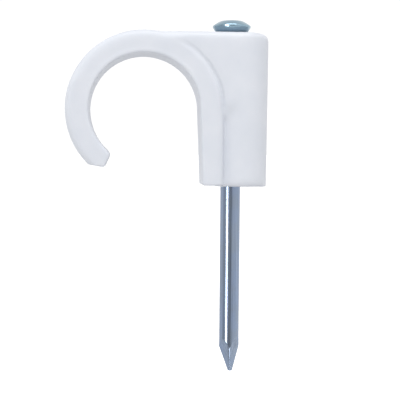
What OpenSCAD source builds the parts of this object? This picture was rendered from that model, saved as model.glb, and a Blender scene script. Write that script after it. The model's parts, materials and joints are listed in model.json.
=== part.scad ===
// Nail-in clip for round cable: a moulded hook with a nail boss, and the nail pressed through it.
// The wall is the plane z = 0. The nail runs along Z, the cable runs along Y.

/* [Cable hook] */
// Inside radius of the hook, which is the radius of the largest cable
hook_r = 5.43; // [3:0.01:12]
// Thickness of the hook and of its leg
hook_wall = 2.27; // [1.6:0.01:4]
// Depth of the hook along the cable
hook_depth = 5.3; // [4:0.1:9]
// Gap between the largest cable and the wall
wall_gap = 2.12; // [1.5:0.01:4]
// Rounding of the hook's outer edges
outer_round = 0.65; // [0.2:0.05:0.8]
// Rounding of the hook's inner edges
inner_round = 0.25; // [0.1:0.05:0.5]
// Lean of the leg away from the cable, in degrees
leg_lean = 1.9; // [0.5:0.1:4]
// How far the leg's outside leans out before it turns upright beside the boss
leg_flare = 0.05; // [0.03:0.01:0.1]
// How far the leg stops short of the wall, so that the boss seats first
leg_lift = 0.12; // [0.04:0.02:0.4]

/* [Hook tip] */
// Angle round the hook at which the tip ends, from the leg over the top
tip_angle = 233.5; // [215:0.5:245]
// Turn of the tip's end face from the radius, in degrees
tip_skew = 11.6; // [0:0.2:20]
// How far the tip's inner corner is eased back from the cable
tip_ease = 0.2; // [0.1:0.05:0.6]
// Slope of the eased corner against the hook's inside, in degrees
tip_ease_slope = 27; // [15:1:40]
// Angle round the hook at which the flat under the tip starts
tip_flat_angle = 225; // [215:1:235]
// Slope of the flat under the tip against the wall, in degrees
tip_flat_slope = 9; // [0:0.2:20]

/* [Nail boss] */
// Radius of the boss at its top
boss_r = 2.7; // [2.5:0.02:4]
// Draft of the boss, in degrees
boss_draft = 0.38; // [0.1:0.01:1]
// Distance from the nail's axis to the boss's axis, away from the hook
boss_shift = 0.98; // [0.4:0.02:1.2]
// Distance from the nail's axis to the outside of the leg
leg_reach = 0.94; // [0.5:0.02:1.4]
// How far the top of the boss lies below the top of the hook
top_drop = 0.12; // [0.06:0.02:0.8]
// Rounding of the boss's top edge
boss_round = 0.8; // [0.3:0.05:1]

/* [Hood] */
// Depth of the hood that fills the corner between hook and boss
hood_depth = 5.24; // [4.8:0.02:5.28]
// Height above the wall at which the hood's foot leaves the boss
hood_foot = 5.8; // [5:0.1:6.4]
// Depth of the hood at its foot
hood_foot_depth = 3.4; // [3:0.1:3.6]
// Height above the wall from which the hood has its full depth
hood_full = 8; // [7.4:0.1:9]
// Rounding of the hood's edge along the groove round the hook
hood_round = 0.5; // [0.4:0.05:0.6]
// Angle round the hook at which the groove has run out
groove_end_angle = 68; // [64:1:84]
// Slope of the groove's floor, which falls from there to the leg, in degrees
groove_slope = 3.2; // [2.4:0.2:4]

/* [Nail] */
// Diameter of the nail's shank
nail_d = 2; // [1.6:0.1:2.4]
// Length of the nail over all
nail_len = 35; // [30:1:60]
// Radial clearance of the nail in its bore
nail_clearance = 0.03; // [0.02:0.01:0.1]
// Diameter of the head
head_d = 3.78; // [3.2:0.02:4.6]
// Height of the head
head_h = 1.22; // [1:0.01:2]
// Diameter of the flat on top of the head
head_flat_d = 2.3; // [1:0.1:2.4]
// Diameter of the head's seat on the boss
head_seat_d = 3; // [2.5:0.05:3.1]
// Height of the bevel under the head's rim
head_bevel = 0.62; // [0.3:0.02:0.7]
// Height of the head's straight rim
head_rim = 0.12; // [0.06:0.01:0.3]
// Length of the point along its edges
point_len = 2.7; // [2:0.1:5]
// Width of the blunt end of the point, from edge to edge
point_blunt = 0.3; // [0.1:0.02:0.6]
// How far the blunt end lies off the nail's axis
point_offset = 0.14; // [0:0.02:0.3]

/* [Hidden] */
$fn = 96;

plastic = [0.89, 0.89, 0.91];
zinc = [0.60, 0.64, 0.68];

// How far a cut runs past what it cuts
past = 1;

hook_out = hook_r + hook_wall;
hook_mid = hook_r + hook_wall / 2;
hook_half = hook_depth / 2;
hook_x = -(leg_reach + hook_out);
hook_z = hook_r + wall_gap;

boss_h = hook_z + hook_out - top_drop;
boss_foot_r = boss_r - boss_h * tan(boss_draft);
bore_r = nail_d / 2 + nail_clearance;

// The head's crown is an arc about the nail's axis, from the rim to the flat on top
rim_top = head_bevel + head_rim;
crown_z = (pow(head_flat_d / 2, 2) - pow(head_d / 2, 2) + pow(head_h, 2) - pow(rim_top, 2))
    / (2 * (head_h - rim_top));
crown_r = sqrt(pow(head_flat_d / 2, 2) + pow(head_h - crown_z, 2));
shank_len = nail_len - head_h;
point_taper = (nail_d - point_blunt) / 2 / point_len;

// Turns a drawing into the plane of the hook, X across and Z up, with the hook's centre at its origin
module on_hook() {
    translate([hook_x, 0, hook_z])
        rotate([90, 0, 0])
            children();
}

// Rectangle with one radius on its left corners and another on its right corners
module rounded_strip(left, right, half, left_round, right_round) {
    translate([left + left_round, -half])
        square([right - left - left_round - right_round, 2 * half]);
    translate([left, left_round - half])
        square([left_round, 2 * (half - left_round)]);
    translate([right - right_round, right_round - half])
        square([right_round, 2 * (half - right_round)]);
    for (side = [-1, 1]) {
        translate([left + left_round, side * (half - left_round)])
            circle(left_round);
        translate([right - right_round, side * (half - right_round)])
            circle(right_round);
    }
}

// Section of the hook and its leg: distance from the hook's axis along X, depth along Y
module band_section() {
    rounded_strip(hook_r, hook_out, hook_half, inner_round, outer_round);
}

// What is cut off the end of the hook: its end face, the eased inner corner, the flat underneath
module tip_cuts() {
    rotate(tip_angle)
        translate([hook_r + tip_ease, 0]) {
            rotate(tip_skew)
                translate([-past, 0])
                    square(hook_out);
            rotate(-90 - tip_ease_slope)
                translate([-past, -hook_wall])
                    square([hook_r, hook_wall]);
        }
    rotate(tip_flat_angle)
        translate([hook_out, 0])
            rotate(-tip_flat_angle - tip_flat_slope)
                translate([-hook_wall, -hook_out])
                    square([hook_out, hook_out]);
}

// What is cut off the leaning leg so that its outside stands upright, with the same rounded edges
module leg_cut() {
    upright = hook_out + leg_flare;
    translate([hook_x, 0, -past])
        linear_extrude(hook_z + past)
            difference() {
                translate([upright - outer_round, -hook_depth])
                    square([hook_wall, 2 * hook_depth]);
                rounded_strip(0, upright, hook_half, inner_round, outer_round);
            }
}

// The hook is its section turned round the cable, and the leg carries it straight on to the wall
module hook() {
    length = hook_z + past;
    difference() {
        translate([hook_x, 0, hook_z])
            rotate([0, -leg_lean, 0]) {
                rotate([90, 0, 0])
                    rotate_extrude(angle = tip_angle + tip_skew - leg_lean)
                        band_section();
                translate([0, 0, -length])
                    linear_extrude(length)
                        band_section();
            }
        leg_cut();
        on_hook()
            translate([0, 0, -hook_depth])
                linear_extrude(2 * hook_depth)
                    tip_cuts();
        translate([hook_x, -hook_depth, leg_lift - hook_out])
            cube([2 * hook_out, 2 * hook_depth, hook_out]);
    }
}

// Half section of the boss, with a drafted side and a rounded top edge
module boss_section() {
    difference() {
        polygon([[0, 0], [boss_foot_r, 0], [boss_r, boss_h], [0, boss_h]]);
        translate([boss_r - boss_round, boss_h - boss_round])
            difference() {
                square(boss_round + past);
                circle(boss_round);
            }
    }
}

module boss() {
    translate([boss_shift, 0, 0])
        rotate_extrude()
            boss_section();
}

// Section across the hood, as seen along X: it widens from its foot and has rounded top edges
module hood_section() {
    half = hood_depth / 2;
    foot_half = hood_foot_depth / 2;
    difference() {
        polygon([
            [-foot_half, hood_foot],
            [foot_half, hood_foot],
            [half, hood_full],
            [half, boss_h],
            [-half, boss_h],
            [-half, hood_full]
        ]);
        for (side = [0, 1])
            mirror([side, 0])
                translate([half - boss_round, boss_h - boss_round])
                    difference() {
                        square(boss_round + past);
                        circle(boss_round);
                    }
    }
}

// Section of the groove between hook and hood, with a flare that rounds the hood's edge
module groove_section() {
    difference() {
        translate([hook_mid, hook_half])
            square([hook_out + hood_round - hook_mid, hood_round + past]);
        translate([hook_out + hood_round, hook_half])
            circle(hood_round);
    }
}

// What the hood leaves free: the cable's room as far as the middle of the hook's wall, and both grooves
module groove_cut() {
    on_hook() {
        translate([0, 0, -hook_depth])
            cylinder(r = hook_mid, h = 2 * hook_depth);
        for (side = [0, 1])
            mirror([0, 0, side])
                rotate(groove_end_angle)
                    rotate([groove_slope, 0, 0])
                        rotate_extrude()
                            groove_section();
    }
}

// The hood carries the boss's top over to the hook and grows out of the boss's side at its foot
module hood() {
    difference() {
        translate([hook_x, 0, 0])
            rotate([90, 0, 90])
                linear_extrude(boss_shift - hook_x)
                    hood_section();
        groove_cut();
    }
}

module clip_body() {
    color(plastic)
        difference() {
            union() {
                hook();
                boss();
                hood();
            }
            translate([0, 0, -past])
                cylinder(r = bore_r, h = boss_h + 2 * past);
        }
}

// Half section of the nail, with the head's seat at the origin
module nail_section() {
    translate([0, -shank_len])
        square([nail_d / 2, shank_len + head_bevel]);
    intersection() {
        polygon([
            [0, 0],
            [head_seat_d / 2, 0],
            [head_d / 2, head_bevel],
            [head_d / 2, head_h],
            [0, head_h]
        ]);
        translate([0, crown_z])
            circle(crown_r);
    }
}

// Wedge between two opposite faces of the point, wide enough for the head above it
module point_wedge() {
    tip_half = point_blunt / 2 / sqrt(2);
    tip_shift = point_offset / sqrt(2);
    wide_half = head_d / 2 + past;
    wide_z = (wide_half - tip_half) * sqrt(2) / point_taper - shank_len;
    rotate([90, 0, 0])
        translate([0, 0, -head_d])
            linear_extrude(2 * head_d)
                polygon([
                    [tip_shift - tip_half, -shank_len],
                    [tip_shift + tip_half, -shank_len],
                    [wide_half, wide_z],
                    [wide_half, head_h + past],
                    [-wide_half, head_h + past],
                    [-wide_half, wide_z]
                ]);
}

module nail() {
    color(zinc)
        translate([0, 0, boss_h])
            intersection() {
                rotate_extrude()
                    nail_section();
                rotate(45)
                    point_wedge();
                rotate(-45)
                    point_wedge();
            }
}

clip_body();
nail();
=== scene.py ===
import json
import math
import bmesh
import bpy
from mathutils import Matrix, Vector

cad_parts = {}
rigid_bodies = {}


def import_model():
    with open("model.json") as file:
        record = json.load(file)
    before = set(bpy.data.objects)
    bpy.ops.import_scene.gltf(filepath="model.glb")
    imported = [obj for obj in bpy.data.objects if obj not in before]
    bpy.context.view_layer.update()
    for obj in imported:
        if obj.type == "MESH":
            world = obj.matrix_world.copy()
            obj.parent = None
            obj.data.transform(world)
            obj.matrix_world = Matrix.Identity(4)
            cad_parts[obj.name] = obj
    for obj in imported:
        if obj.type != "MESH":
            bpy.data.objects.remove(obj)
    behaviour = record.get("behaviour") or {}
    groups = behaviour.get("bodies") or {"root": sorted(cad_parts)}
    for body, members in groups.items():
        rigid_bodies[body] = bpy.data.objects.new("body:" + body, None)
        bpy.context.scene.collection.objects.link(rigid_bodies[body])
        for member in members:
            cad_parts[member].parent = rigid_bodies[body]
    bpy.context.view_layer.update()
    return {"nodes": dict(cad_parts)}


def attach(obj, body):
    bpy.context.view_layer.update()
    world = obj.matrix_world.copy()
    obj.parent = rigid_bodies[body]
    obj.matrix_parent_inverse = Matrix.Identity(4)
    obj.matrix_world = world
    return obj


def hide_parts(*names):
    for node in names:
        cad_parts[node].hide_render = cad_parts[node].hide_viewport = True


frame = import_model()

nodes = frame["nodes"]
scene = bpy.context.scene
mm = 0.001
print("frame loaded:", sorted(nodes))


def linear(hexText):
    parts = [int(hexText[i:i + 2], 16) / 255 for i in (1, 3, 5)]
    return tuple(c / 12.92 if c <= 0.04045 else ((c + 0.055) / 1.055) ** 2.4 for c in parts) + (1.0,)


# adds one node: plain settings by name, socket values by name or number, links from other sockets
def addNode(tree, kind, links=None, values=None, **settings):
    node = tree.nodes.new(kind)
    for name, value in settings.items():
        setattr(node, name, value)
    for key, value in (values or {}).items():
        node.inputs[key].default_value = value
    for key, socket in (links or {}).items():
        tree.links.new(socket, node.inputs[key])
    return node


def newMaterial(name):
    material = bpy.data.materials.new(name)
    material.use_nodes = True
    tree = material.node_tree
    tree.nodes.clear()
    shader = addNode(tree, "ShaderNodeBsdfPrincipled")
    addNode(tree, "ShaderNodeOutputMaterial", links={"Surface": shader.outputs["BSDF"]})
    return material, tree, shader


# a new geometry tree with one named input for each size, whose socket follows from the kind of value
def newTree(name, sizes):
    kinds = {int: "NodeSocketInt", float: "NodeSocketFloat", tuple: "NodeSocketVector"}
    tree = bpy.data.node_groups.new(name, "GeometryNodeTree")
    tree.interface.new_socket("Geometry", in_out="INPUT", socket_type="NodeSocketGeometry")
    for label, value in sizes.items():
        kind = kinds.get(type(value), "NodeSocketMaterial")
        tree.interface.new_socket(label, in_out="INPUT", socket_type=kind)
    tree.interface.new_socket("Geometry", in_out="OUTPUT", socket_type="NodeSocketGeometry")
    return tree, addNode(tree, "NodeGroupInput"), addNode(tree, "NodeGroupOutput")


# runs a tree on an object drawn in millimetres and returns the result as a plain mesh in metres
def shapeWith(holder, tree, sizes):
    modifier = holder.modifiers.new("shape", "NODES")
    modifier.node_group = tree
    for item in tree.interface.items_tree:
        if item.item_type == "SOCKET" and item.in_out == "INPUT" and item.name in sizes:
            modifier[item.identifier] = sizes[item.name]
    bpy.context.view_layer.update()
    graph = bpy.context.evaluated_depsgraph_get()
    mesh = bpy.data.meshes.new_from_object(holder.evaluated_get(graph), depsgraph=graph)
    mesh.transform(Matrix.Scale(mm, 4))
    return mesh


# the finished piece, with its place in its mesh, standing for one node of the frame
def finishPiece(name, mesh, node):
    piece = bpy.data.objects.new(name, mesh)
    scene.collection.objects.link(piece)
    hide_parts(node)
    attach(piece, "root")
    print(name, "has", len(mesh.polygons), "faces")


# camera, as found from the outline of hook, boss and nail in the picture
view = dict(spot=(-10.04, -95.70, 3.81), yaw=4.19, pitch=-3.11, roll=0.44, focalPixels=959.9, imageSide=400,
            sensorMm=36, nearMm=5, farMm=20000)


def makeCamera():
    data = bpy.data.cameras.new("camera")
    data.sensor_width = view["sensorMm"]
    data.lens = view["sensorMm"] * view["focalPixels"] / view["imageSide"]
    data.clip_start, data.clip_end = view["nearMm"] * mm, view["farMm"] * mm
    yaw, pitch, roll = (math.radians(view[k]) for k in ("yaw", "pitch", "roll"))
    ahead = Vector((math.sin(yaw) * math.cos(pitch), math.cos(yaw) * math.cos(pitch), math.sin(pitch)))
    right = Vector((math.cos(yaw), -math.sin(yaw), 0))
    up = right.cross(ahead)
    across = right * math.cos(roll) + up * math.sin(roll)
    above = up * math.cos(roll) - right * math.sin(roll)
    turned = Matrix((across, above, -ahead)).transposed().to_4x4()
    camera = bpy.data.objects.new("camera", data)
    camera.matrix_world = Matrix.Translation(Vector(view["spot"]) * mm) @ turned
    scene.collection.objects.link(camera)
    scene.camera = camera


makeCamera()
print("camera set")

# white moulded polypropylene: satin from a fine eroded mould, a little light comes through it
plastic = dict(colour="#DCDFE6", shade="#D6DAE2", roughness=0.5, roughnessDrift=0.05, ior=1.49, specular=0.35,
               mottleMm=3.0, mottleStops=(0.3, 0.7), grainMm=0.16, grainDepthMm=0.0016, grainStrength=0.5,
               throughShare=0.1, throughMm=0.4, throughRatio=(1.0, 0.95, 0.9))


def makePlastic():
    material, tree, shader = newMaterial("whitePolypropylene")
    where = addNode(tree, "ShaderNodeTexCoord").outputs["Object"]
    cloud = addNode(tree, "ShaderNodeTexNoise", links={"Vector": where},
                    values={"Scale": 1 / (plastic["mottleMm"] * mm), "Detail": 3.0, "Roughness": 0.55})
    colours = addNode(tree, "ShaderNodeValToRGB", links={"Fac": cloud.outputs["Fac"]})
    for stop, place, colour in zip(colours.color_ramp.elements, plastic["mottleStops"], ("shade", "colour")):
        stop.position = place
        stop.color = linear(plastic[colour])
    # the mould's grain is finer than this on the real one, drawn coarser so that it shows
    grain = addNode(tree, "ShaderNodeTexNoise", links={"Vector": where},
                    values={"Scale": 1 / (plastic["grainMm"] * mm), "Detail": 2.0, "Roughness": 0.6})
    bump = addNode(tree, "ShaderNodeBump", links={"Height": grain.outputs["Fac"]},
                   values={"Strength": plastic["grainStrength"], "Distance": plastic["grainDepthMm"] * mm})
    rough = addNode(tree, "ShaderNodeMapRange", links={"Value": cloud.outputs["Fac"]},
                    values={"To Min": plastic["roughness"] - plastic["roughnessDrift"],
                            "To Max": plastic["roughness"] + plastic["roughnessDrift"]})
    tree.links.new(colours.outputs["Color"], shader.inputs["Base Color"])
    tree.links.new(rough.outputs["Result"], shader.inputs["Roughness"])
    tree.links.new(bump.outputs["Normal"], shader.inputs["Normal"])
    shader.inputs["IOR"].default_value = plastic["ior"]
    shader.inputs["Specular IOR Level"].default_value = plastic["specular"]
    shader.inputs["Subsurface Weight"].default_value = plastic["throughShare"]
    shader.inputs["Subsurface Radius"].default_value = plastic["throughRatio"]
    shader.inputs["Subsurface Scale"].default_value = plastic["throughMm"] * mm
    return material


# bright zinc plate on drawn wire: fine streaks along the nail, a bluish cast that drifts over the plate, and
# a painted reflection on the head
zinc = dict(dark="#747F90", mid="#8B97A8", tint="#7F8FAB", tintFrom=0.35, tintFull=0.7, tintShare=0.6,
            driftMm=1.6, headPaintedReflection="#8BA6B2", headReflectionShare=0.75, headFromZ=14.6, headFullZ=15.6,
            smoothest=0.11, roughest=0.24, streakMm=0.12, streakLengthMm=9.0, streakStops=(0.32, 0.68),
            streakDepthMm=0.0018, streakStrength=0.4)


def makeZinc():
    material, tree, shader = newMaterial("zincPlatedWire")
    where = addNode(tree, "ShaderNodeTexCoord").outputs["Object"]
    stretched = addNode(tree, "ShaderNodeMapping", links={"Vector": where},
                        values={"Scale": (1.0, 1.0, zinc["streakMm"] / zinc["streakLengthMm"])})
    streak = addNode(tree, "ShaderNodeTexNoise", links={"Vector": stretched.outputs["Vector"]},
                     values={"Scale": 1 / (zinc["streakMm"] * mm), "Detail": 3.0, "Roughness": 0.6})
    drift = addNode(tree, "ShaderNodeTexNoise", links={"Vector": where},
                    values={"Scale": 1 / (zinc["driftMm"] * mm), "Detail": 2.0})
    plate = addNode(tree, "ShaderNodeValToRGB", links={"Fac": streak.outputs["Fac"]})
    for stop, place, colour in zip(plate.color_ramp.elements, zinc["streakStops"], ("dark", "mid")):
        stop.position = place
        stop.color = linear(zinc[colour])
    cast = addNode(tree, "ShaderNodeMapRange", links={"Value": drift.outputs["Fac"]},
                   values={"From Min": zinc["tintFrom"], "From Max": zinc["tintFull"],
                           "To Max": zinc["tintShare"]})
    tinted = addNode(tree, "ShaderNodeMix", data_type="RGBA",
                     links={"Factor": cast.outputs["Result"], "A": plate.outputs["Color"]})
    tinted.inputs["B"].default_value = linear(zinc["tint"])
    # painted reflection: the head is drawn paler and greener than the shank. This stands in for the lit
    # plastic top that its bevel reflects
    up = addNode(tree, "ShaderNodeSeparateXYZ", links={"Vector": where})
    onHead = addNode(tree, "ShaderNodeMapRange", links={"Value": up.outputs["Z"]},
                     values={"From Min": zinc["headFromZ"] * mm, "From Max": zinc["headFullZ"] * mm,
                             "To Max": zinc["headReflectionShare"]})
    withHeadReflection = addNode(tree, "ShaderNodeMix", data_type="RGBA",
                     links={"Factor": onHead.outputs["Result"], "A": tinted.outputs["Result"]})
    withHeadReflection.inputs["B"].default_value = linear(zinc["headPaintedReflection"])
    rough = addNode(tree, "ShaderNodeMapRange", links={"Value": streak.outputs["Fac"]},
                    values={"To Min": zinc["smoothest"], "To Max": zinc["roughest"]})
    bump = addNode(tree, "ShaderNodeBump", links={"Height": streak.outputs["Fac"]},
                   values={"Strength": zinc["streakStrength"], "Distance": zinc["streakDepthMm"] * mm})
    tree.links.new(withHeadReflection.outputs["Result"], shader.inputs["Base Color"])
    tree.links.new(rough.outputs["Result"], shader.inputs["Roughness"])
    tree.links.new(bump.outputs["Normal"], shader.inputs["Normal"])
    shader.inputs["Metallic"].default_value = 1.0
    return material


plasticMaterial = makePlastic()
zincMaterial = makeZinc()
print("materials made")

# clip: the frame's own shape with an even skin, its edges and the meeting of hook, hood and boss as moulded
# skin holds the tree's inputs. In mm, they say where a zone starts and ends: side along Y, names with X or Z
# along that axis, runOut by the distance from its place, the others by the distance from the hook's axis
clip = dict(skinMm=0.1, mergeMm=0.0005, skin=dict(
    hookCentre=(-8.64, 0.0, 7.55), evenPasses=2, softPasses=44, dullPasses=6, sideFrom=1.3, sideFull=1.9,
    softFrom=7.8, softFull=8.4, softFullZ=13.9, softEndZ=14.7,
    runOutPlace=(-6.8, 0.0, 14.7), runOutFull=0.0, runOutEnd=0.9,
    outerShare=0.4, outerFrom=6.4, outerFull=7.0, outerFromZ=10.0, outerFullZ=12.0,
    outerFullX=-6.6, outerEndX=-5.4,
    innerShare=2.0, innerFull=5.9, innerEnd=6.5, innerFromZ=4.5, innerFullZ=6.5))


def clipTree(sizes):
    tree, given, result = newTree("moulded skin", sizes)
    take = given.outputs
    place = addNode(tree, "GeometryNodeInputPosition").outputs["Position"]
    parts = addNode(tree, "ShaderNodeSeparateXYZ", links={"Vector": place}).outputs
    depth = addNode(tree, "ShaderNodeMath", operation="ABSOLUTE", links={0: parts["Y"]}).outputs["Value"]
    # distance from the hook's axis, and beside the leg from the upright plane through that axis
    apart = addNode(tree, "ShaderNodeVectorMath", operation="SUBTRACT",
                    links={0: place, 1: take["hookCentre"]})
    offset = addNode(tree, "ShaderNodeSeparateXYZ", links={"Vector": apart.outputs["Vector"]}).outputs
    rise = addNode(tree, "ShaderNodeMath", operation="MAXIMUM", links={0: offset["Z"]}, values={1: 0.0})
    flat = addNode(tree, "ShaderNodeCombineXYZ", links={"X": offset["X"], "Z": rise.outputs["Value"]})
    reach = addNode(tree, "ShaderNodeVectorMath", operation="LENGTH",
                    links={0: flat.outputs["Vector"]}).outputs["Value"]
    # distance from the line along which the groove runs out on top of the hook
    gap = addNode(tree, "ShaderNodeVectorMath", operation="SUBTRACT",
                  links={0: place, 1: take["runOutPlace"]})
    level = addNode(tree, "ShaderNodeVectorMath", operation="MULTIPLY",
                    links={0: gap.outputs["Vector"]}, values={1: (1.0, 0.0, 1.0)})
    near = addNode(tree, "ShaderNodeVectorMath", operation="LENGTH",
                   links={0: level.outputs["Vector"]}).outputs["Value"]
    # zones that fade in or out between two sizes
    zones = {}
    for name, what, start, end, first, last in (
            ("side", depth, "sideFrom", "sideFull", 0.0, 1.0),
            ("soft", reach, "softFrom", "softFull", 0.0, 1.0),
            ("softZ", parts["Z"], "softFullZ", "softEndZ", 1.0, 0.0),
            ("runOut", near, "runOutFull", "runOutEnd", 1.0, 0.0),
            ("outer", reach, "outerFrom", "outerFull", 0.0, 1.0),
            ("outerZ", parts["Z"], "outerFromZ", "outerFullZ", 0.0, 1.0),
            ("outerX", parts["X"], "outerFullX", "outerEndX", 1.0, 0.0),
            ("inner", reach, "innerFull", "innerEnd", 1.0, 0.0),
            ("innerZ", parts["Z"], "innerFromZ", "innerFullZ", 0.0, 1.0)):
        zone = addNode(tree, "ShaderNodeMapRange", interpolation_type="SMOOTHSTEP",
                       values={"To Min": first, "To Max": last},
                       links={"Value": what, "From Min": take[start], "From Max": take[end]})
        zones[name] = zone.outputs["Result"]
    # the groove along the hood is softer, the hook's outer edges rounder on top, its inner edges crisper
    shares = {}
    for name, factors in (
            ("groove", [zones["soft"], zones["side"], zones["softZ"]]),
            ("rounder", [take["outerShare"], zones["side"], zones["outer"], zones["outerZ"],
                         zones["outerX"]]),
            ("crisper", [take["innerShare"], zones["inner"], zones["side"], zones["innerZ"]])):
        share = factors[0]
        for factor in factors[1:]:
            product = addNode(tree, "ShaderNodeMath", operation="MULTIPLY", links={0: share, 1: factor})
            share = product.outputs["Value"]
        shares[name] = share
    softer = shares["groove"]
    for other in (zones["runOut"], shares["rounder"]):
        larger = addNode(tree, "ShaderNodeMath", operation="MAXIMUM", links={0: softer, 1: other})
        softer = larger.outputs["Value"]
    even = addNode(tree, "GeometryNodeBlurAttribute", data_type="FLOAT_VECTOR",
                   links={"Value": place, "Iterations": take["evenPasses"]})
    evened = addNode(tree, "GeometryNodeSetPosition",
                     links={"Geometry": take["Geometry"], "Position": even.outputs["Value"]})
    # an edge gets crisper when it moves away from where blurring would take it
    dull = addNode(tree, "GeometryNodeBlurAttribute", data_type="FLOAT_VECTOR",
                   links={"Value": place, "Iterations": take["dullPasses"]})
    gained = addNode(tree, "ShaderNodeVectorMath", operation="SUBTRACT",
                     links={0: place, 1: dull.outputs["Value"]})
    pushed = addNode(tree, "ShaderNodeVectorMath", operation="SCALE",
                     links={0: gained.outputs["Vector"], "Scale": shares["crisper"]})
    crisp = addNode(tree, "GeometryNodeSetPosition",
                    links={"Geometry": evened.outputs["Geometry"], "Offset": pushed.outputs["Vector"]})
    soft = addNode(tree, "GeometryNodeBlurAttribute", data_type="FLOAT_VECTOR",
                   links={"Value": place, "Iterations": take["softPasses"], "Weight": softer})
    softened = addNode(tree, "GeometryNodeSetPosition",
                       links={"Geometry": crisp.outputs["Geometry"], "Position": soft.outputs["Value"]})
    smooth = addNode(tree, "GeometryNodeSetShadeSmooth", links={"Geometry": softened.outputs["Geometry"]})
    real = addNode(tree, "GeometryNodeRealizeInstances", links={"Geometry": smooth.outputs["Geometry"]})
    dressed = addNode(tree, "GeometryNodeSetMaterial",
                      links={"Geometry": real.outputs["Geometry"], "Material": take["material"]})
    tree.links.new(dressed.outputs["Geometry"], result.inputs["Geometry"])
    return tree


def makeClip():
    mesh = nodes["clip_body"].data.copy()
    mesh.materials.clear()
    mesh.transform(Matrix.Scale(1 / mm, 4))
    work = bmesh.new()
    work.from_mesh(mesh)
    bmesh.ops.remove_doubles(work, verts=work.verts, dist=clip["mergeMm"])
    work.to_mesh(mesh)
    work.free()
    holder = bpy.data.objects.new("clipHolder", mesh)
    scene.collection.objects.link(holder)
    skin = holder.modifiers.new("skin", "REMESH")
    skin.mode = "VOXEL"
    skin.voxel_size = clip["skinMm"]
    sizes = dict(clip["skin"], material=plasticMaterial)
    made = shapeWith(holder, clipTree(sizes), sizes)
    bpy.data.objects.remove(holder)
    finishPiece("moulded_clip", made, "clip_body")


makeClip()

# nail: its half section turned round its axis, then cut to a four-sided point that ends a little off the axis
nail = dict(seatZ=15.13, shankR=1.0, length=35.0, headR=1.89, headHeight=1.22, flatR=1.15, seatR=1.5,
            bevel=0.62, rim=0.12, crownBulge=0.034, crownSteps=7, edgeRound=0.06, edgeSteps=1, turns=128,
            pointLength=2.47, pointBlunt=0.42, pointOffset=0.13, pointRound=0.09, sharpDegrees=35,
            hairMm=0.001, pencilPast=2.0)


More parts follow.
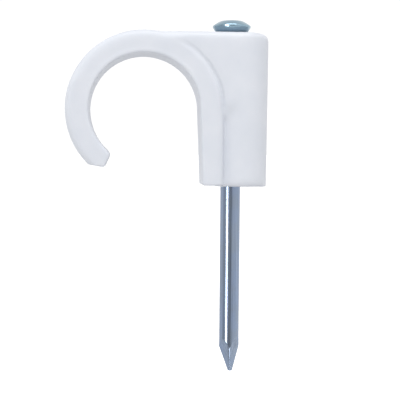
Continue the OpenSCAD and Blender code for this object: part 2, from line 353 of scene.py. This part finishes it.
def nailTree(sizes):
    tree, given, result = newTree("turned nail", sizes)
    take = given.outputs
    hair = nail["hairMm"]  # radius of the ring that the section is carried round
    line = addNode(tree, "GeometryNodeMeshToCurve", links={"Mesh": take["Geometry"]})
    filleted = addNode(tree, "GeometryNodeFilletCurve", mode="POLY",
                       links={"Curve": line.outputs["Curve"], "Radius": take["edgeRound"]},
                       values={"Limit Radius": True, "Count": nail["edgeSteps"]})
    ring = addNode(tree, "GeometryNodeCurvePrimitiveCircle",
                   links={"Resolution": take["turns"]}, values={"Radius": hair})
    turned = addNode(tree, "GeometryNodeCurveToMesh",
                     links={"Curve": ring.outputs["Curve"], "Profile Curve": filleted.outputs["Curve"]})
    # the merge is wider than the ring, so that it closes the hole along the axis
    closed = addNode(tree, "GeometryNodeMergeByDistance",
                     links={"Geometry": turned.outputs["Mesh"]}, values={"Distance": 3 * hair})
    pencil = addNode(tree, "GeometryNodeMeshCone", fill_type="NGON",
                     links={"Vertices": take["turns"], "Radius Top": take["pencilR"],
                            "Radius Bottom": take["tipR"], "Depth": take["pencilHeight"]})
    place = addNode(tree, "GeometryNodeInputPosition").outputs["Position"]
    # the round pencil is drawn in to four flat sides with rounded edges between them
    level = addNode(tree, "ShaderNodeVectorMath", operation="MULTIPLY",
                    links={0: place}, values={1: (1.0, 1.0, 0.0)})
    aim = addNode(tree, "ShaderNodeVectorMath", operation="NORMALIZE", links={0: level.outputs["Vector"]})
    aimParts = addNode(tree, "ShaderNodeSeparateXYZ", links={"Vector": aim.outputs["Vector"]})
    bluntness = addNode(tree, "ShaderNodeMath", operation="POWER",
                        links={0: take["pointRound"]}, values={1: 2.0})
    sides = []
    for axis in ("X", "Y"):
        along = aimParts.outputs[axis]
        square = addNode(tree, "ShaderNodeMath", operation="MULTIPLY_ADD",
                         links={0: along, 1: along, 2: bluntness.outputs["Value"]})
        root = addNode(tree, "ShaderNodeMath", operation="SQRT", links={0: square.outputs["Value"]})
        sides.append(root.outputs["Value"])
    across = addNode(tree, "ShaderNodeMath", operation="ADD", links={0: sides[0], 1: sides[1]})
    whole = addNode(tree, "ShaderNodeMath", operation="ADD", links={0: take["pointRound"]}, values={1: 1.0})
    inset = addNode(tree, "ShaderNodeMath", operation="DIVIDE",
                    links={0: whole.outputs["Value"], 1: across.outputs["Value"]})
    drawn = addNode(tree, "ShaderNodeVectorMath", operation="SCALE",
                    links={0: level.outputs["Vector"], "Scale": inset.outputs["Value"]})
    height = addNode(tree, "ShaderNodeSeparateXYZ", links={"Vector": place})
    share = addNode(tree, "ShaderNodeMath", operation="DIVIDE",
                    links={0: height.outputs["Z"], 1: take["straightAt"]})
    left = addNode(tree, "ShaderNodeMath", operation="SUBTRACT",
                   values={0: 1.0}, links={1: share.outputs["Value"]})
    shift = addNode(tree, "ShaderNodeMath", operation="MULTIPLY",
                    links={0: left.outputs["Value"], 1: take["tipOffset"]})
    lifted = addNode(tree, "ShaderNodeMath", operation="ADD", links={0: height.outputs["Z"], 1: take["tipZ"]})
    move = addNode(tree, "ShaderNodeCombineXYZ",
                   links={"X": shift.outputs["Value"], "Z": lifted.outputs["Value"]})
    spot = addNode(tree, "ShaderNodeVectorMath", operation="ADD",
                   links={0: drawn.outputs["Vector"], 1: move.outputs["Vector"]})
    pointed = addNode(tree, "GeometryNodeSetPosition",
                      links={"Geometry": pencil.outputs["Mesh"], "Position": spot.outputs["Vector"]})
    cut = addNode(tree, "GeometryNodeMeshBoolean", operation="INTERSECT", solver="EXACT")
    tree.links.new(closed.outputs["Geometry"], cut.inputs["Mesh 2"])
    tree.links.new(pointed.outputs["Geometry"], cut.inputs["Mesh 2"])
    clean = addNode(tree, "GeometryNodeMergeByDistance",
                    links={"Geometry": cut.outputs["Mesh"]}, values={"Distance": hair})
    smooth = addNode(tree, "GeometryNodeSetShadeSmooth", links={"Geometry": clean.outputs["Geometry"]})
    bend = addNode(tree, "GeometryNodeInputMeshEdgeAngle")
    corner = addNode(tree, "ShaderNodeMath", operation="GREATER_THAN",
                     links={0: bend.outputs["Unsigned Angle"], 1: take["sharpAngle"]})
    crease = addNode(tree, "FunctionNodeBooleanMath", operation="OR",
                     links={0: corner.outputs["Value"], 1: cut.outputs["Intersecting Edges"]})
    creased = addNode(tree, "GeometryNodeSetShadeSmooth", domain="EDGE", values={"Shade Smooth": False},
                      links={"Geometry": smooth.outputs["Geometry"], "Selection": crease.outputs["Boolean"]})
    real = addNode(tree, "GeometryNodeRealizeInstances", links={"Geometry": creased.outputs["Geometry"]})
    dressed = addNode(tree, "GeometryNodeSetMaterial",
                      links={"Geometry": real.outputs["Geometry"], "Material": take["material"]})
    tree.links.new(dressed.outputs["Geometry"], result.inputs["Geometry"])
    return tree


def nailSection():
    top, rimTop = nail["headHeight"], nail["bevel"] + nail["rim"]
    flatR, headR = nail["flatR"], nail["headR"]
    # the crown is an arc from the rim to the flat on top, which bulges from the straight line between them
    run, climb = headR - flatR, top - rimTop
    span = math.hypot(run, climb)
    crownR = span ** 2 / (8 * nail["crownBulge"]) + nail["crownBulge"] / 2
    back = crownR - nail["crownBulge"]
    centreR, centreZ = (headR + flatR) / 2 - back * climb / span, (rimTop + top) / 2 - back * run / span
    start, end = math.atan2(rimTop - centreZ, headR - centreR), math.atan2(top - centreZ, flatR - centreR)
    foot = top - nail["length"]
    points = [(0, foot), (nail["shankR"], foot), (nail["shankR"], 0), (nail["seatR"], 0),
              (headR, nail["bevel"])]
    for i in range(nail["crownSteps"] + 1):
        turn = start + (end - start) * i / nail["crownSteps"]
        points.append((centreR + crownR * math.cos(turn), centreZ + crownR * math.sin(turn)))
    return points + [(0, top)]


def makeNail():
    points = [(r, -z - nail["seatZ"], 0) for r, z in nailSection()]
    mesh = bpy.data.meshes.new("nailSection")
    mesh.from_pydata(points, [(i, i + 1) for i in range(len(points) - 1)], [])
    holder = bpy.data.objects.new("nailHolder", mesh)
    scene.collection.objects.link(holder)
    tipR = nail["pointBlunt"] / 2
    taper = (nail["shankR"] - tipR) / nail["pointLength"]
    pencilHeight = nail["length"] + nail["pencilPast"]  # it ends above the head
    sizes = dict(turns=nail["turns"], edgeRound=nail["edgeRound"], pointRound=nail["pointRound"],
                 tipZ=nail["seatZ"] + nail["headHeight"] - nail["length"], tipR=tipR,
                 tipOffset=nail["pointOffset"], straightAt=nail["pointLength"],
                 pencilR=tipR + taper * pencilHeight, pencilHeight=pencilHeight,
                 sharpAngle=math.radians(nail["sharpDegrees"]), material=zincMaterial)
    made = shapeWith(holder, nailTree(sizes), sizes)
    bpy.data.objects.remove(holder)
    finishPiece("wire_nail", made, "nail")


makeNail()

# stage: a pale floor under the nail's point. Only the camera sees it, so it throws no light up at the clip
stage = dict(floorZ=-18.7, floorMm=6000, colour="#FFFFFF", floorGlow=0.7, cardTop=300, roughness=0.9)
# upright cards: name, X and Y of both ends, height of the foot, glow
cards = [("cameraCard", -76, -200, 46, -200, -100, 0.44), ("leftCard", -240, -170, -200, -10, -300, 0.68)]


# a flat sheet that stands round the object and isn't part of it
def addSheet(name, corners, glow, seenBy):
    colour = stage["colour"]
    material, tree, shader = newMaterial(name)
    shader.inputs["Base Color"].default_value = linear(colour) if "camera" in seenBy else (0, 0, 0, 1)
    shader.inputs["Roughness"].default_value = stage["roughness"]
    shader.inputs["Emission Color"].default_value = linear(colour)
    shader.inputs["Emission Strength"].default_value = glow
    if "camera" in seenBy:  # the floor doesn't hide the part from below
        under = addNode(tree, "ShaderNodeNewGeometry").outputs["Backfacing"]
        sheer = addNode(tree, "ShaderNodeBsdfTransparent")
        oneSided = addNode(tree, "ShaderNodeMixShader",
                           links={0: under, 1: shader.outputs["BSDF"], 2: sheer.outputs["BSDF"]})
        tree.links.new(oneSided.outputs["Shader"], tree.nodes["Material Output"].inputs["Surface"])
    mesh = bpy.data.meshes.new(name)
    mesh.from_pydata([Vector(c) * mm for c in corners], [], [(0, 1, 2, 3)])
    mesh.materials.append(material)
    sheet = bpy.data.objects.new(name, mesh)
    scene.collection.objects.link(sheet)
    for ray in ("camera", "diffuse", "glossy", "transmission", "shadow"):
        setattr(sheet, "visible_" + ray, ray in seenBy)


def makeStage():
    half, z, top = stage["floorMm"] / 2, stage["floorZ"], stage["cardTop"]
    addSheet("paleFloor", [(-half, -half, z), (half, -half, z), (half, half, z), (-half, half, z)],
             stage["floorGlow"], ("camera",))
    # cards that show only in reflections: the darker room behind the camera, and a board on the left
    for name, x0, y0, x1, y1, foot, glow in cards:
        addSheet(name, [(x0, y0, foot), (x1, y1, foot), (x1, y1, top), (x0, y0, top)], glow, ("glossy",))


makeStage()

# lamps: direction from the clip (azimuth from the viewer to the left, elevation), distance and size in mm
# the last two are for the nail only
lampAim = (-8, 0, 2)
lamps = [dict(name="topSoftbox", azimuth=0, elevation=72, far=320, size=(200, 200), watts=0.66,
              seenBy=("diffuse", "glossy"), only=None),
         dict(name="frontSoftbox", azimuth=0, elevation=45, far=320, size=(700, 90), watts=0.32,
              seenBy=("glossy",), only="wire_nail"),
         dict(name="leftStrip", azimuth=36, elevation=0, far=260, size=(66, 720), watts=1.35,
              seenBy=("glossy",), only="wire_nail")]


def makeLights():
    target = Vector(lampAim) * mm
    for lamp in lamps:
        data = bpy.data.lights.new(lamp["name"], "AREA")
        data.shape = "RECTANGLE"
        data.size, data.size_y = lamp["size"][0] * mm, lamp["size"][1] * mm
        data.energy = lamp["watts"]
        around, lift = math.radians(lamp["azimuth"]), math.radians(lamp["elevation"])
        level = math.cos(lift)
        away = Vector((-math.sin(around) * level, -math.cos(around) * level, math.sin(lift)))
        light = bpy.data.objects.new(lamp["name"], data)
        light.location = target + away * lamp["far"] * mm
        light.rotation_euler = away.to_track_quat("Z", "Y").to_euler()
        for ray in ("diffuse", "glossy"):
            setattr(light, "visible_" + ray, ray in lamp["seenBy"])
        if lamp["only"]:
            light.light_linking.receiver_collection = bpy.data.collections.new(lamp["name"])
            light.light_linking.receiver_collection.objects.link(bpy.data.objects[lamp["only"]])
        scene.collection.objects.link(light)


makeLights()

# light from all round, as strengths from six sides: sky lights the part, room is what reflections show
# the camera sees plain white
sky = dict(left=1.14, right=0.86, front=1.15, back=0.66, below=0.38, above=0.0)
room = dict(left=1.1, right=1.3, front=0.95, back=1.1, below=1.3, above=1.05)
backdrop = 1.05
sideBlend = 0.3  # how gradually one side goes over into the opposite one


# strength of the light from a direction, mixed from the three sides it points at
def sideGlow(tree, parts, strengths):
    total = None
    for axis, lowSide, highSide in (("X", "left", "right"), ("Y", "front", "back"), ("Z", "below", "above")):
        along = parts.outputs[axis]
        side = addNode(tree, "ShaderNodeMapRange", interpolation_type="SMOOTHSTEP", links={"Value": along},
                       values={"From Min": -sideBlend, "From Max": sideBlend,
                               "To Min": strengths[lowSide], "To Max": strengths[highSide]})
        square = addNode(tree, "ShaderNodeMath", operation="MULTIPLY", links={0: along, 1: along})
        part = addNode(tree, "ShaderNodeMath", operation="MULTIPLY",
                       links={0: square.outputs["Value"], 1: side.outputs["Result"]})
        if total:
            part = addNode(tree, "ShaderNodeMath", operation="ADD",
                           links={0: total, 1: part.outputs["Value"]})
        total = part.outputs["Value"]
    return addNode(tree, "ShaderNodeBackground", links={"Strength": total}, values={"Color": (1, 1, 1, 1)})


def makeSky():
    world = bpy.data.worlds.new("whiteRoom")
    scene.world = world
    world.use_nodes = True
    tree = world.node_tree
    tree.nodes.clear()
    where = addNode(tree, "ShaderNodeTexCoord").outputs["Generated"]
    parts = addNode(tree, "ShaderNodeSeparateXYZ", links={"Vector": where})
    ray = addNode(tree, "ShaderNodeLightPath")
    lit, shown = (sideGlow(tree, parts, strengths).outputs["Background"] for strengths in (sky, room))
    mirrored = addNode(tree, "ShaderNodeMixShader",
                       links={0: ray.outputs["Is Glossy Ray"], 1: lit, 2: shown})
    white = addNode(tree, "ShaderNodeBackground", values={"Color": (1, 1, 1, 1), "Strength": backdrop})
    seen = addNode(tree, "ShaderNodeMixShader",
                   links={0: ray.outputs["Is Camera Ray"], 1: mirrored.outputs["Shader"],
                          2: white.outputs["Background"]})
    addNode(tree, "ShaderNodeOutputWorld", links={"Surface": seen.outputs["Shader"]})


makeSky()
scene.view_settings.view_transform = "Standard"
print("stage and lights set")
